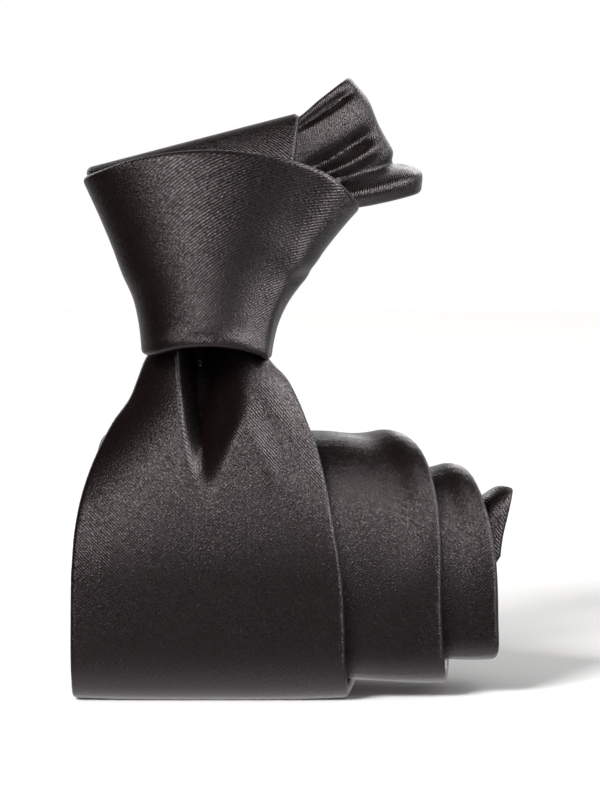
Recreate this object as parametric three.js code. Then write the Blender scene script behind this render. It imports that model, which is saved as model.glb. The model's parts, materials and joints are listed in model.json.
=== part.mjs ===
// A tied necktie. Its knot stands on its own blade and tail, which are wound together into a roll that
// steps out to the right, and its small neck loop stands behind the knot.
//
// Millimetres. +Z is up, +X is to the right of the knot's face, and the knot's face looks along -Y.
// The origin is on the surface that the roll stands on, below the knot and in the middle of the depth of
// the roll's flat foot.
//
// Each band is drawn flat, as it is cut: x across the band, y the depth below its satin face and z the
// number of the station along it. lay() then bends it along its stations.
import * as THREE from "three";

// ---- The cloth ----
const SILK = 0.35; // one ply of satin
const PLY_GAP = 0.3; // air between two plies that touch
const BLADE_LINING = 0.6; // interlining inside the blade
const TAIL_LINING = 0.4; // interlining inside the tail and the neck band
const BAND_GAP = 0.35; // air between two bands that touch
const SEAM_GAP = 2; // between the two flaps, along a band's back seam
const THREAD = 0.4; // slip-stitch thread

const BLADE_THICK = 2 * (SILK + PLY_GAP) + BLADE_LINING;
const TAIL_THICK = 2 * (SILK + PLY_GAP) + TAIL_LINING;

// ---- The blade and the tail, measured flat ----
const BLADE_LENGTH = 462; // knot's mouth to the blade's point
const BLADE_WIDEST = 76; // at the base of the point
const BLADE_AT_KNOT = 54; // where the blade has opened out below the knot
const GATHERED_WIDTH = 22; // in the knot's mouth
const GATHER_LENGTH = 17; // how quickly the gathers open
const TAIL_LENGTH = 392;
const TAIL_WIDEST = 40;
const TAIL_AT_KNOT = 29;
const TAIL_GATHERED = 16;
const POINT_V = 85; // over this length the blade's flaps open into a V
const TAIL_V = 50;
const HEM = 3; // satin left beside the tipping, along the edge of a point
const BLUNT = 1.8; // half the width at which a point ends
const TIPPING_START = 4; // the tipping shows this far below the V's top
const TIPPING_END = 5; // and stops this far above the point
const TACK_LENGTH = 1.2; // the bar tack at the V's top
const KEEPER_TURN = 0.75; // the place of the keeper loop, in turns of the roll
const KEEPER_LENGTH = 10;
const KEEPER_FOOT = 6; // what is sewn down at each of its ends
const KEEPER_ROOM = 0.8; // beside the tail

// ---- The roll ----
const ROLL_DEPTH = 24; // half depth of the first turn
const ROLL_HEIGHT = 31.1; // half height of the first turn
const ROLL_MIDDLE_Y = 2.05;
const FOOT_PRESS = 2.5; // how much of the first turn is pressed flat by its foot
const ROLL_MIDDLE_Z = ROLL_HEIGHT - FOOT_PRESS;
const DEPTH_PITCH = 4.8; // half depth lost in each turn
const HEIGHT_PITCH = 6.3; // half height lost in each turn
const MIDDLE_DROP = 0.6; // how far each turn's middle sinks
const SQUARENESS = 2.5; // 2 is an ellipse
const LEAN = 0.045; // how far the roll leans back, for each mm of height
const ROLL_TURNS = 4;
const STEP_OUT = 43; // how far the right edge moves in the end
const STEP_DECAY = 1.556; // turns
const BACK_SHARE = 0.8; // share of the stepping that is done behind the roll
const RIGHT_EDGE = 27.4; // of the first turn
const MOUTH_SHIFT = 20; // over this length the blade's middle leaves the knot's

// ---- The knot ----
const KNOT_Y = -6; // middle of the knot's depth
const MOUTH_X = -1.9; // middle of the mouth
const RIM_X = 1.2; // middle of the rim
const MOUTH_Z = 73;
const KNOT_HEIGHT = 34; // mouth to rim, at the knot's sides
const MOUTH_HALF = 13.4;
const RIM_HALF = 28.6;
const MOUTH_DEPTH = 8;
const RIM_DEPTH = 12.5;
const RIM_ARCH = 8; // the rim stands this much higher in the middle than at the sides
const RIM_TILT = -0.095; // the rim falls this much for each mm to the right
const WRAP_TURN = 118; // degrees that the front wrap reaches round each side
const HINGE_GAP = 2.8; // free cloth between the roll and the knot, at the mouth
const BACK_INSET = 2 * BLADE_THICK + 2 * BAND_GAP + 0.4; // the back wrap lies this far inside the front wrap
const BACK_TURN = 62; // degrees each side of the back
const BACK_TOP_DROP = 6; // the back wrap stays this far below the rim
const OVER_TOP = 115; // height of the band over the knot, in its middle
const OVER_LEFT = -24;
const OVER_RIGHT = 16.6;
const OVER_SLANT = 0.24; // it climbs this much for each mm to the right
const OVER_BACK_Z = 82; // lower end of its leg behind the knot
const CORE_TOP = 103; // upper end of the tail's run through the knot

// ---- The neck loop ----
// Its lower and upper edges, from its right end at the knot, round the back, to its left end.
const LOOP_LOWER = [
  [12, 9.5, 94],
  [30, 13, 94],
  [42, 24, 97],
  [37, 36, 94],
  [16, 43.5, 88],
  [-8, 41, 84],
  [-19, 28, 83],
  [-18, 14.5, 84],
  [-10, 9.5, 87],
];
const LOOP_UPPER = [
  [12, 9.5, 113],
  [20.5, 14, 119.5],
  [27, 23, 124.5],
  [24.5, 32, 120.5],
  [12, 38, 112],
  [-6, 36, 105],
  [-16, 26, 103.5],
  [-15, 14.5, 104],
  [-10, 9.5, 105],
];
const LOOP_STATIONS = 26;

const SATIN = { color: 0x1b1517, roughness: 0.38, metalness: 0 };
const WADDING = { color: 0xd9d4c8, roughness: 0.95, metalness: 0 };
const TIPPING = { color: 0x141112, roughness: 0.55, metalness: 0 };
const STITCH = { color: 0x0e0c0d, roughness: 0.7, metalness: 0 };

const V = (x, y, z) => new THREE.Vector3(x, y, z);
const mix = THREE.MathUtils.lerp;
const RIGHT = V(1, 0, 0);
const power = (value, exponent) => Math.sign(value) * Math.abs(value) ** exponent;

// ---- Laying a flat piece ----

// Bends a flat piece along its stations. shape(point, station) gives a point's distance across the band
// and its depth below the satin face.
function lay(name, flat, stations, shape, material) {
  const laid = flat.index ? flat.toNonIndexed() : flat;
  const spots = laid.getAttribute("position");
  const corners = [];
  for (let i = 0; i < spots.count; i++) {
    const point = V(0, 0, 0).fromBufferAttribute(spots, i);
    const station = stations[Math.round(point.z)];
    const [across, deep] = shape(point, station);
    corners.push(
      station.middle
        .clone()
        .addScaledVector(station.across, across)
        .addScaledVector(station.normal, -deep),
    );
  }
  // Depth runs against the outward normal, which turns each face over, so its corners are taken backwards.
  corners.reverse().forEach((corner, i) => spots.setXYZ(i, corner.x, corner.y, corner.z));
  laid.deleteAttribute("normal");
  laid.deleteAttribute("uv");
  laid.computeVertexNormals();
  const mesh = new THREE.Mesh(laid, new THREE.MeshStandardMaterial(material));
  mesh.name = name;
  return mesh;
}

const extrude = (outline, steps) =>
  new THREE.ExtrudeGeometry(new THREE.Shape(outline.map(([x, y]) => new THREE.Vector2(x, y))), {
    depth: steps,
    steps,
    bevelEnabled: false,
  });

// The satin of a band: a face, folded round both edges into two flaps that meet along the back. The
// outline is numbered: x is 3 at the band's edge, 2 inside it and 1 at a flap's edge; y counts the plies.
function envelope(name, stations, thick) {
  const half = [[3, 0], [3, 3], [1, 3], [1, 2], [2, 2], [2, 1]];
  const outline = [...half, ...half.map(([x, y]) => [-x, y]).reverse()];
  const depths = [0, SILK, thick - SILK, thick];
  const shape = (point, station) => {
    const widths = [0, station.flap, station.half - SILK, station.half];
    const rank = Math.abs(Math.round(point.x));
    return [Math.sign(point.x) * widths[rank], depths[Math.round(point.y)]];
  };
  return lay(name, extrude(outline, stations.length - 1), stations, shape, SATIN);
}

// A flat strip that lies in the band between two depths. halfAt(station) is half its width.
function strip(name, stations, halfAt, top, bottom, material) {
  const last = stations.length - 1;
  const flat = new THREE.BoxGeometry(2, 1, last, 1, 1, last).translate(0, 0.5, last / 2);
  const shape = (point, station) => [point.x * halfAt(station), mix(top, bottom, point.y)];
  return lay(name, flat, stations, shape, material);
}

const lining = (name, stations, thick) =>
  strip(
    name,
    stations,
    (station) => station.half - SILK - PLY_GAP,
    SILK + PLY_GAP,
    thick - SILK - PLY_GAP,
    WADDING,
  );

const seam = (name, stations, thick) =>
  strip(name, stations, () => THREAD / 2, thick - SILK, thick - SILK + THREAD * 0.8, STITCH);

// ---- The roll ----

// A line in the Y-Z plane: its points, their outward normals and their lengths along it.
function lineThrough(points) {
  const line = { points, normals: [], along: [0] };
  points.forEach((point, i) => {
    const run = points[Math.min(i + 1, points.length - 1)]
      .clone()
      .sub(points[Math.max(i - 1, 0)])
      .normalize();
    line.normals.push(run.cross(RIGHT));
    if (i > 0) line.along.push(line.along[i - 1] + point.distanceTo(points[i - 1]));
  });
  return line;
}

// The roll's face, counted in turns from the front of the first one: down, back, up and over.
function rollPoint(turns) {
  const angle = 2 * Math.PI * turns;
  const up = -(ROLL_HEIGHT - HEIGHT_PITCH * turns) * power(Math.sin(angle), 2 / SQUARENESS);
  const back = -(ROLL_DEPTH - DEPTH_PITCH * turns) * power(Math.cos(angle), 2 / SQUARENESS);
  const height = ROLL_MIDDLE_Z - MIDDLE_DROP * turns + up;
  return V(0, ROLL_MIDDLE_Y + back + LEAN * up, Math.max(height, 0));
}

const APRON_POINTS = 120;
const TURN_POINTS = 400;

// The blade's face, from the knot's mouth down the apron and into the roll.
function windRoll() {
  const front = rollPoint(0);
  const top = V(0, KNOT_Y - MOUTH_DEPTH + BLADE_THICK + BAND_GAP, MOUTH_Z - HINGE_GAP);
  const above = top.clone().add(V(0, -1.5, -11));
  const apron = new THREE.CubicBezierCurve3(top, above, front.clone().add(V(0, 0, 22)), front);
  const points = apron.getPoints(APRON_POINTS);
  for (let i = 1; i <= ROLL_TURNS * TURN_POINTS; i++) points.push(rollPoint(i / TURN_POINTS));
  return lineThrough(points);
}

const bladeLine = windRoll();
const tailDepth = BLADE_THICK + BAND_GAP;
const tailLine = lineThrough(
  bladeLine.points.map((point, i) => point.clone().addScaledVector(bladeLine.normals[i], -tailDepth)),
);

const indexAt = (line, length) => line.along.findIndex((along) => along >= length);
const indexOfTurn = (turns) => APRON_POINTS + Math.round(turns * TURN_POINTS);

const blade = {
  line: bladeLine,
  length: BLADE_LENGTH,
  widest: BLADE_WIDEST,
  narrow: BLADE_AT_KNOT,
  gathered: GATHERED_WIDTH,
  thick: BLADE_THICK,
  v: POINT_V,
};
const tail = {
  line: tailLine,
  length: TAIL_LENGTH,
  widest: TAIL_WIDEST,
  narrow: TAIL_AT_KNOT,
  gathered: TAIL_GATHERED,
  thick: TAIL_THICK,
  v: TAIL_V,
};

// Half the width that a band has opened out to, at a length along it, as if it never came to its point.
const openHalf = (band, length) =>
  mix(band.narrow, band.widest, Math.min(length / (band.length - band.widest / 2), 1)) / 2;

function halfWidth(band, length) {
  const open = openHalf(band, length);
  const gathered = open - (open - band.gathered / 2) * Math.exp(-length / GATHER_LENGTH);
  return Math.max(Math.min(gathered, band.length - length), BLUNT);
}

// Half the gap between the flaps: a seam, which opens into a V towards the point.
function halfFlapGap(band, length) {
  const opening = 0.5 * (length - (band.length - band.v));
  return Math.max(SEAM_GAP / 2, Math.min(opening, halfWidth(band, length) - HEM));
}

// The middle of the bands in the roll, which steps to the right from turn to turn.
function rollMiddle(index) {
  const turns = Math.max(0, (index - APRON_POINTS) / TURN_POINTS);
  const stepped = turns - (BACK_SHARE * Math.sin(2 * Math.PI * turns)) / (2 * Math.PI);
  const right = RIGHT_EDGE + STEP_OUT * (1 - Math.exp(-stepped / STEP_DECAY));
  const length = bladeLine.along[index];
  const atMouth = MOUTH_X - (RIGHT_EDGE - BLADE_AT_KNOT / 2);
  return right - openHalf(blade, length) + atMouth * Math.exp(-length / MOUTH_SHIFT);
}

// The lengths along a band at which something starts, ends or changes.
const marks = (band) => [
  0,
  band.length,
  band.length - BLUNT,
  band.length - TIPPING_END,
  band.length - band.widest / 2,
  band.length - band.v - TACK_LENGTH,
  band.length - band.v,
  band.length - band.v + TIPPING_START,
];
const footFrom = bladeLine.points.findIndex((point) => point.z === 0);
const footTo = bladeLine.points.findLastIndex((point) => point.z === 0);
const keeperMiddle = bladeLine.along[indexOfTurn(KEEPER_TURN)];
const keeperFrom = indexAt(bladeLine, keeperMiddle - KEEPER_LENGTH / 2);
const keeperTo = indexAt(bladeLine, keeperMiddle + KEEPER_LENGTH / 2);

// The places along the roll where its bands are creased: at each mark, and wherever they have turned by
// MOST_TURN or run for LONGEST since the last one.
const MOST_TURN = 0.36;
const LONGEST = 13;
function rollCreases() {
  const fixed = [blade, tail].flatMap((band) => marks(band).map((s) => indexAt(band.line, s)));
  const creases = new Set([...fixed, footFrom, footTo, keeperFrom, keeperTo]);
  const { normals, along } = bladeLine;
  let last = 0;
  for (let i = 1; i <= Math.max(...fixed); i++) {
    const turned = normals[i].angleTo(normals[last]) > MOST_TURN;
    if (creases.has(i) || turned || along[i] - along[last] > LONGEST) {
      creases.add(i);
      last = i;
    }
  }
  return [...creases].sort((a, b) => a - b);
}
const creases = rollCreases();

// The stations of a band in the roll, from one crease to another.
const rollStations = (band, from, to) =>
  creases
    .filter((index) => index >= from && index <= to)
    .map((index) => ({
      middle: band.line.points[index].clone().setX(rollMiddle(index)),
      across: RIGHT,
      normal: bladeLine.normals[index],
      half: halfWidth(band, band.line.along[index]),
      flap: halfFlapGap(band, band.line.along[index]),
    }));

// The satin, interlining, tipping and stitches of a band that ends in a point.
function pointedBand(name, band) {
  const at = (length) => indexAt(band.line, length);
  const { length, v, thick } = band;
  const second = creases[1];
  return [
    envelope(name + "_shell", rollStations(band, 0, at(length)), thick),
    lining(name + "_interlining", rollStations(band, 0, at(length - TIPPING_END)), thick),
    strip(
      name + "_tipping",
      rollStations(band, at(length - v + TIPPING_START), at(length - TIPPING_END)),
      (station) => station.flap - PLY_GAP,
      thick - SILK,
      thick,
      TIPPING,
    ),
    strip(
      name + "_bar_tack",
      rollStations(band, at(length - v - TACK_LENGTH), at(length - v)),
      () => SEAM_GAP / 2 - PLY_GAP,
      thick - SILK,
      thick,
      STITCH,
    ),
    seam(
      name + "_slip_stitch",
      rollStations(band, second, creases[creases.indexOf(at(length - v - TACK_LENGTH)) - 1]),
      thick,
    ),
  ];
}

// The loop of satin across the blade's back that the tail runs through.
function keeper() {
  const low = tailDepth;
  const under = tailDepth + TAIL_THICK + BAND_GAP;
  const ply = 2 * SILK;
  const inside = halfWidth(tail, tailLine.along[keeperTo]) + KEEPER_ROOM;
  const foot = inside + KEEPER_FOOT;
  const right = [
    [inside, under],
    [inside, low],
    [foot, low],
    [foot, low + ply],
    [inside + ply, low + ply],
    [inside + ply, under + ply],
  ];
  const outline = [...right, ...right.map(([x, y]) => [-x, y]).reverse()];
  const stations = rollStations(blade, keeperFrom, keeperTo);
  const shape = (point) => [point.x, point.y];
  return lay("keeper_loop", extrude(outline, stations.length - 1), stations, shape, SATIN);
}

// ---- Bands between two edges ----

// Stations of a band whose left edge and right edge, seen from its face, are given at each station.
function ruledStations(edges) {
  const middles = edges.map(([a, b]) => a.clone().lerp(b, 0.5));
  return edges.map(([a, b], i) => {
    const across = b.clone().sub(a);
    const half = across.length() / 2;
    across.normalize();
    const run = middles[Math.min(i + 1, middles.length - 1)]
      .clone()
      .sub(middles[Math.max(i - 1, 0)]);
    const normal = run.cross(across).normalize();
    return { middle: middles[i], across, normal, half, flap: SEAM_GAP / 2 };
  });
}

const evenly = (count, from, to) => [...Array(count).keys()].map((i) => mix(from, to, i / (count - 1)));

// ---- The knot ----

// A point on the knot's face, or `inset` inside it: the angle is 0 in front, and positive to the right.
// share is 0 at the mouth and 1 at the rim, and drop lowers the rim.
function knotPoint(degrees, share, inset = 0, drop = 0) {
  const angle = THREE.MathUtils.degToRad(degrees);
  const half = mix(MOUTH_HALF, RIM_HALF, share) - inset;
  const depth = mix(MOUTH_DEPTH, RIM_DEPTH, share) - inset;
  const side = half * power(Math.sin(angle), 2 / SQUARENESS);
  const back = -depth * power(Math.cos(angle), 2 / SQUARENESS);
  const arch = RIM_ARCH * Math.max(Math.cos(angle), 0) ** 2;
  const height = KNOT_HEIGHT - drop + arch + RIM_TILT * side;
  return V(mix(MOUTH_X, RIM_X, share) + side, KNOT_Y + back, MOUTH_Z + share * height);
}

function frontWrap() {
  const edges = evenly(19, -WRAP_TURN, WRAP_TURN).map((angle) => [
    knotPoint(angle, 0),
    knotPoint(angle, 1),
  ]);
  return ruledStations(edges);
}

function backWrap() {
  const edges = evenly(9, 180 - BACK_TURN, 180 + BACK_TURN).map((angle) => [
    knotPoint(angle, 0.1, BACK_INSET, BACK_TOP_DROP),
    knotPoint(angle, 1, BACK_INSET, BACK_TOP_DROP),
  ]);
  return ruledStations(edges);
}

// Up behind the knot, over its top, and down behind the front wrap into the mouth.
function overWrap() {
  const inset = BLADE_THICK + BAND_GAP + 0.3;
  const legBack = KNOT_Y + 10.2;
  const middle = mix(OVER_LEFT, OVER_RIGHT, 0.5);
  const edge = (x, rimAngle, mouthAngle, backX) => {
    const rim = knotPoint(rimAngle, 0.94, inset);
    const topY = (rim.y + legBack) / 2;
    const reach = (legBack - rim.y) / 2;
    const peak = OVER_TOP + OVER_SLANT * (x - middle);
    const shoulder = peak - reach;
    return new THREE.CatmullRomCurve3([
      V(backX, legBack, OVER_BACK_Z),
      V(backX, legBack, mix(OVER_BACK_Z, shoulder, 0.55)),
      V(mix(backX, x, 0.15), legBack - 0.2, shoulder + 1),
      V(mix(backX, x, 0.6), topY + reach * 0.6, peak - 1.4),
      V(x, topY - 0.5, peak),
      V(mix(rim.x, x, 0.5), topY - reach * 0.7, peak - 2.6),
      rim,
      knotPoint(mix(rimAngle, mouthAngle, 0.5), 0.45, inset),
      knotPoint(mouthAngle, 0.02, inset),
    ]);
  };
  const left = edge(OVER_LEFT, -52, -48, -13);
  const right = edge(OVER_RIGHT, 32, 48, 12);
  return ruledStations(evenly(22, 0, 1).map((t) => [left.getPoint(t), right.getPoint(t)]));
}

// The tail's run up through the middle of the knot.
function core() {
  const y = KNOT_Y - 1.8;
  const half = TAIL_GATHERED / 2;
  return ruledStations(
    evenly(5, CORE_TOP, MOUTH_Z + 0.4).map((z) => [
      V(MOUTH_X - half, y, z),
      V(MOUTH_X + half, y, z),
    ]),
  );
}

// ---- The neck loop ----
function neckLoop() {
  const curve = (points) => new THREE.CatmullRomCurve3(points.map(([x, y, z]) => V(x, y, z)));
  const lower = curve(LOOP_LOWER);
  const upper = curve(LOOP_UPPER);
  return ruledStations(
    evenly(LOOP_STATIONS, 0, 1).map((t) => [lower.getPoint(t), upper.getPoint(t)]),
  );
}

const linedBand = (name, stations, thick) => [
  envelope(name + "_shell", stations, thick),
  lining(name + "_interlining", stations, thick),
];

const loop = neckLoop();
const necktie = new THREE.Group();
necktie.name = "necktie";
necktie.add(
  ...pointedBand("blade", blade),
  ...pointedBand("tail", tail),
  keeper(),
  ...linedBand("neck", loop, TAIL_THICK),
  seam("neck_slip_stitch", loop.slice(1, -1), TAIL_THICK),
  ...linedBand("knot_front_wrap", frontWrap(), BLADE_THICK),
  ...linedBand("knot_back_wrap", backWrap(), BLADE_THICK),
  ...linedBand("knot_over_wrap", overWrap(), BLADE_THICK),
  ...linedBand("knot_core", core(), TAIL_THICK),
);

export default necktie;
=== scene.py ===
"""A black satin necktie: its knot stands on its own blade and tail, wound into a roll that steps
out to the right, and its small neck loop stands behind the knot.

Sizes are in millimetres until a mesh is made. +X is to the right of the knot's face, which looks
along -Y, and +Z is up.
"""

import json
import math

import bpy
import numpy as np
from mathutils import Vector
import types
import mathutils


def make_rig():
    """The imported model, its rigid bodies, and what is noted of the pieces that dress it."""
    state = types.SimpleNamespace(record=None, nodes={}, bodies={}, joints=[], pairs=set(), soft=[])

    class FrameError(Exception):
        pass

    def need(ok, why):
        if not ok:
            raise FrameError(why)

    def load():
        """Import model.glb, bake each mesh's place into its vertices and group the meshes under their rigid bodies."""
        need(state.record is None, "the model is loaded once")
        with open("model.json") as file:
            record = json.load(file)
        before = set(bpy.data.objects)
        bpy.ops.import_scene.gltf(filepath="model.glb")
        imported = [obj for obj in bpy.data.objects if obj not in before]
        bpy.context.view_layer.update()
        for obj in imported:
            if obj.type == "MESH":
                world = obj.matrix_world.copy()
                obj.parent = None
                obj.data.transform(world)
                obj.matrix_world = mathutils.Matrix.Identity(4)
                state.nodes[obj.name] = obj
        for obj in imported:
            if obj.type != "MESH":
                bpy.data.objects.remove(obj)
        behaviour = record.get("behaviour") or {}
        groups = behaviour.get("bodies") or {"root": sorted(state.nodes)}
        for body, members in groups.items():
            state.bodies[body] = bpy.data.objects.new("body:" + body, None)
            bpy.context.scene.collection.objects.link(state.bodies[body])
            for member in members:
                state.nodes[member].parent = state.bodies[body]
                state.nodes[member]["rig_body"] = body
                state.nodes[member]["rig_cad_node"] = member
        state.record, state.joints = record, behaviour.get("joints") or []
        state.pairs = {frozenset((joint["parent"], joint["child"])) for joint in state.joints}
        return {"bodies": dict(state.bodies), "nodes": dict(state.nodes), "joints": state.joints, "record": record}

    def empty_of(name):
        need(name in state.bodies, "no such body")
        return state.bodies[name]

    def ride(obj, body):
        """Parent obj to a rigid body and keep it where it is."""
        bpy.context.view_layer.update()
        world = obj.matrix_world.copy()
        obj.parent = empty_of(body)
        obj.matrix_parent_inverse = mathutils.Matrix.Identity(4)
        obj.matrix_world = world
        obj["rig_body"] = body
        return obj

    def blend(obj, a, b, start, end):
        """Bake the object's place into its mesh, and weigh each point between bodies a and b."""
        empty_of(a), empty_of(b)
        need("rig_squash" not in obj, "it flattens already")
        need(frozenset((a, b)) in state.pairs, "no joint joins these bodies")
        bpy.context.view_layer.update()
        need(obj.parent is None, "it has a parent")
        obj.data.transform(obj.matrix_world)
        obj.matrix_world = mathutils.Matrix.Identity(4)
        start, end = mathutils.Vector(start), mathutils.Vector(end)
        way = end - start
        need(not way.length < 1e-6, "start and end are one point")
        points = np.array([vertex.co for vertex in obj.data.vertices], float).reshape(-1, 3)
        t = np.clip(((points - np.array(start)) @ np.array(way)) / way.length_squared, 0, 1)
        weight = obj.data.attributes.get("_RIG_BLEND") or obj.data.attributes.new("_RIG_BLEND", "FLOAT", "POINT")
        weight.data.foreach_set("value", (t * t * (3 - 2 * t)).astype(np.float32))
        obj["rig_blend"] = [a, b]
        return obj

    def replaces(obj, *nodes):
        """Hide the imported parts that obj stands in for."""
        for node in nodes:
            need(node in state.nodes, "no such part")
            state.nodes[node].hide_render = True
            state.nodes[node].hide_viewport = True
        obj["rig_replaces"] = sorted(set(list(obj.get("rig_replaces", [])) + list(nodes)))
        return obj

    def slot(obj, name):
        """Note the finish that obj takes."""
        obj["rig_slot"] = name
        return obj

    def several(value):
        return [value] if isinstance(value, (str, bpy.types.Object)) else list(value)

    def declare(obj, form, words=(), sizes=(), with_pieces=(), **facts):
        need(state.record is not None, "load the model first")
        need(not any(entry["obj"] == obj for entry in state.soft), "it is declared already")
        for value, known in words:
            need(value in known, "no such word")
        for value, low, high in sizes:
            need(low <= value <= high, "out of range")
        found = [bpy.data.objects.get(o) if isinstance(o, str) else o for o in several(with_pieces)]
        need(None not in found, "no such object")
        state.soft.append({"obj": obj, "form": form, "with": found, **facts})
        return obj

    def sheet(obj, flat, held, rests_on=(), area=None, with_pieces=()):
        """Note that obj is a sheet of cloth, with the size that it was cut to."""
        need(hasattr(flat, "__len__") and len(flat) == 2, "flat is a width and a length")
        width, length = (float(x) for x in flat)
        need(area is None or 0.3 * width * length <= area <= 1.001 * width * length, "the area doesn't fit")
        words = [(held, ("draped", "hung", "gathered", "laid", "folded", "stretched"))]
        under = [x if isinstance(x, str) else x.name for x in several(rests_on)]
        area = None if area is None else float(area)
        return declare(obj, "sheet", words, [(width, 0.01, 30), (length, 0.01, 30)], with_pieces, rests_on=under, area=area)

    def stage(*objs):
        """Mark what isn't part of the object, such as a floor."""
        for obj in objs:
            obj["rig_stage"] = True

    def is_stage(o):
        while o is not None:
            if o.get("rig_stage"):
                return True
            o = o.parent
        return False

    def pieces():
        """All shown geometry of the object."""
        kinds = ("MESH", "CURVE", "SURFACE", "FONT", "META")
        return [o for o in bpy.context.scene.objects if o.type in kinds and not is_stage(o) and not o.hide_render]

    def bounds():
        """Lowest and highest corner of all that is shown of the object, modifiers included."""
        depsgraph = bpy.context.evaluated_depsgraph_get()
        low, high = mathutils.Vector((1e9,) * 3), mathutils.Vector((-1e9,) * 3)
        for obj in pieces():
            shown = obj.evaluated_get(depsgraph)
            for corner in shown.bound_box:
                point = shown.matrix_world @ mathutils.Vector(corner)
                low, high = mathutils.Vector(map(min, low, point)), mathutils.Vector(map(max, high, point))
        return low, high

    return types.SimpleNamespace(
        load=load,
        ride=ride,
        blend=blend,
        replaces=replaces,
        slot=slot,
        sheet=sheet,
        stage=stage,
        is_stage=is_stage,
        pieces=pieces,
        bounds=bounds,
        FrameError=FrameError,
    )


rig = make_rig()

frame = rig.load()
CAD_BOX = [list(corner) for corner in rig.bounds()]
MM = 0.001
TINY = 1e-9  # keeps a division from failing where two points meet


# ---- Numbers ----


def eased(*pairs):
    """A smooth line through (place, value) pairs, level beyond its ends."""
    places, values = (np.array(column, float) for column in zip(*pairs))
    slopes = np.gradient(values, places)

    def at(place):
        place = np.clip(place, places[0], places[-1])
        i = np.clip(np.searchsorted(places, place) - 1, 0, len(places) - 2)
        width = places[i + 1] - places[i]
        t = (place - places[i]) / width
        return (
            values[i] * (1 + 2 * t) * (1 - t) ** 2
            + slopes[i] * width * t * (1 - t) ** 2
            + values[i + 1] * t * t * (3 - 2 * t)
            - slopes[i + 1] * width * t * t * (1 - t)
        )

    return at


def spline(points):
    """A smooth line through points in space, from 0 at the first one to 1 at the last."""
    steps = np.linspace(0, 1, len(points))
    lines = [eased(*zip(steps, column)) for column in zip(*points)]
    return lambda t: np.stack([line(t) for line in lines], -1)


def hump(distance, width):
    """1 at no distance, falling smoothly to nothing over about twice the width."""
    return np.exp(-((distance / width) ** 2))


def rise(value, low, high):
    """0 up to low and 1 from high, smooth between."""
    t = np.clip((value - low) / (high - low), 0, 1)
    return t * t * (3 - 2 * t)


def power(value, exponent):
    """A power that keeps its value's sign."""
    return np.sign(value) * np.abs(value) ** exponent


def level(value):
    """The same value at every place along a band."""
    return lambda along: np.full_like(along, value, dtype=float)


# ---- The roll's path ----

KNOT_Y = -6  # the middle of the knot
MOUTH_Z = 72  # the knot's mouth, where the blade comes out of it
BLADE_LENGTH = 462  # from the mouth to the point
BLADE_WIDEST = 75
TAIL_WIDEST = 40
BLADE_THICK = 1.9
TAIL_THICK = 1.3
PLY = 0.3  # one ply of satin

TURNS = 3.85
# The first turn's half depth, half height and middle, and what each later turn loses of them.
ROLL_DEPTH, DEPTH_LOST = 23.5, 4.6
ROLL_HEIGHT, HEIGHT_LOST = 30.5, 5.8
ROLL_MIDDLE_Y = 2.0
ROLL_MIDDLE_Z, MIDDLE_LOST = 28.2, 1.3
# How round a turn is: 1 is an ellipse, and less is squarer.
FOOT_ROUND, FRONT_ROUND, BACK_ROUND = 0.42, 1.04, 0.82
SAG = 3  # how far the sides of a turn slump
FRONT_SAG, BACK_SAG = 7.0, 3.5  # and how much more from the second turn on

# The blade's path inside the knot and below it: its start, and what pulls the apron's curve.
PATH_TOP = np.array([-9.0, 84.0])
BELOW_MOUTH = np.array([-10.5, 66.0])
ABOVE_ROLL_Z = 44.0
APRON_POINTS, ROLL_POINTS = 300, 4000


def roll_point(turns):
    """Y and Z of the blade's face, in turns from the front: down, back, up and over."""
    angle = 2 * np.pi * turns
    depth = ROLL_DEPTH - DEPTH_LOST * turns
    height = ROLL_HEIGHT - HEIGHT_LOST * turns
    # The front of each turn stands square on its foot and slopes down to it from the top.
    front, low = np.cos(angle) > 0, np.sin(angle) > 0
    roundness = np.where(front, np.where(low, FOOT_ROUND, FRONT_ROUND), BACK_ROUND)
    front_sag = SAG + FRONT_SAG * rise(turns, 0.5, 1.0)
    sag = np.where(front, front_sag, SAG + BACK_SAG * np.clip(turns, 0, 1))
    y = ROLL_MIDDLE_Y - depth * power(np.cos(angle), roundness)
    up = power(np.sin(angle), roundness)
    z = ROLL_MIDDLE_Z - MIDDLE_LOST * turns - height * up - sag * (1 - np.abs(up))
    return np.stack([y, np.maximum(z, 0)], -1)


def blade_path():
    """The blade's face in the Y-Z plane, from inside the knot down the apron and round the roll:
    its points, the length from the mouth at each, and the turns gone round."""
    front = roll_point(np.array(0.0))
    above_roll = np.array([front[0], ABOVE_ROLL_Z])
    t = np.linspace(0, 1, APRON_POINTS)[:, None]
    apron = (
        PATH_TOP * (1 - t) ** 3
        + 3 * BELOW_MOUTH * t * (1 - t) ** 2
        + 3 * above_roll * t * t * (1 - t)
        + front * t**3
    )
    turns = np.linspace(0, TURNS, ROLL_POINTS)
    points = np.vstack([apron, roll_point(turns[1:])])
    steps = np.linalg.norm(np.diff(points, axis=0), axis=1)
    along = np.concatenate([[0], np.cumsum(steps)])
    mouth = np.interp(-MOUTH_Z, -apron[:, 1], along[:APRON_POINTS])
    return points, along - mouth, np.concatenate([np.zeros(APRON_POINTS), turns[1:]])


PATH, ALONG, PATH_TURNS = blade_path()


def turns_at(length):
    return np.interp(length, ALONG, PATH_TURNS)


def length_at(turns):
    return np.interp(turns, PATH_TURNS[APRON_POINTS - 1 :], ALONG[APRON_POINTS - 1 :])


def height_to_length(height):
    return np.interp(-height, -PATH[:APRON_POINTS, 1], ALONG[:APRON_POINTS])


STEP_AHEAD = 0.6  # how far ahead the path's direction is taken


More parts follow.
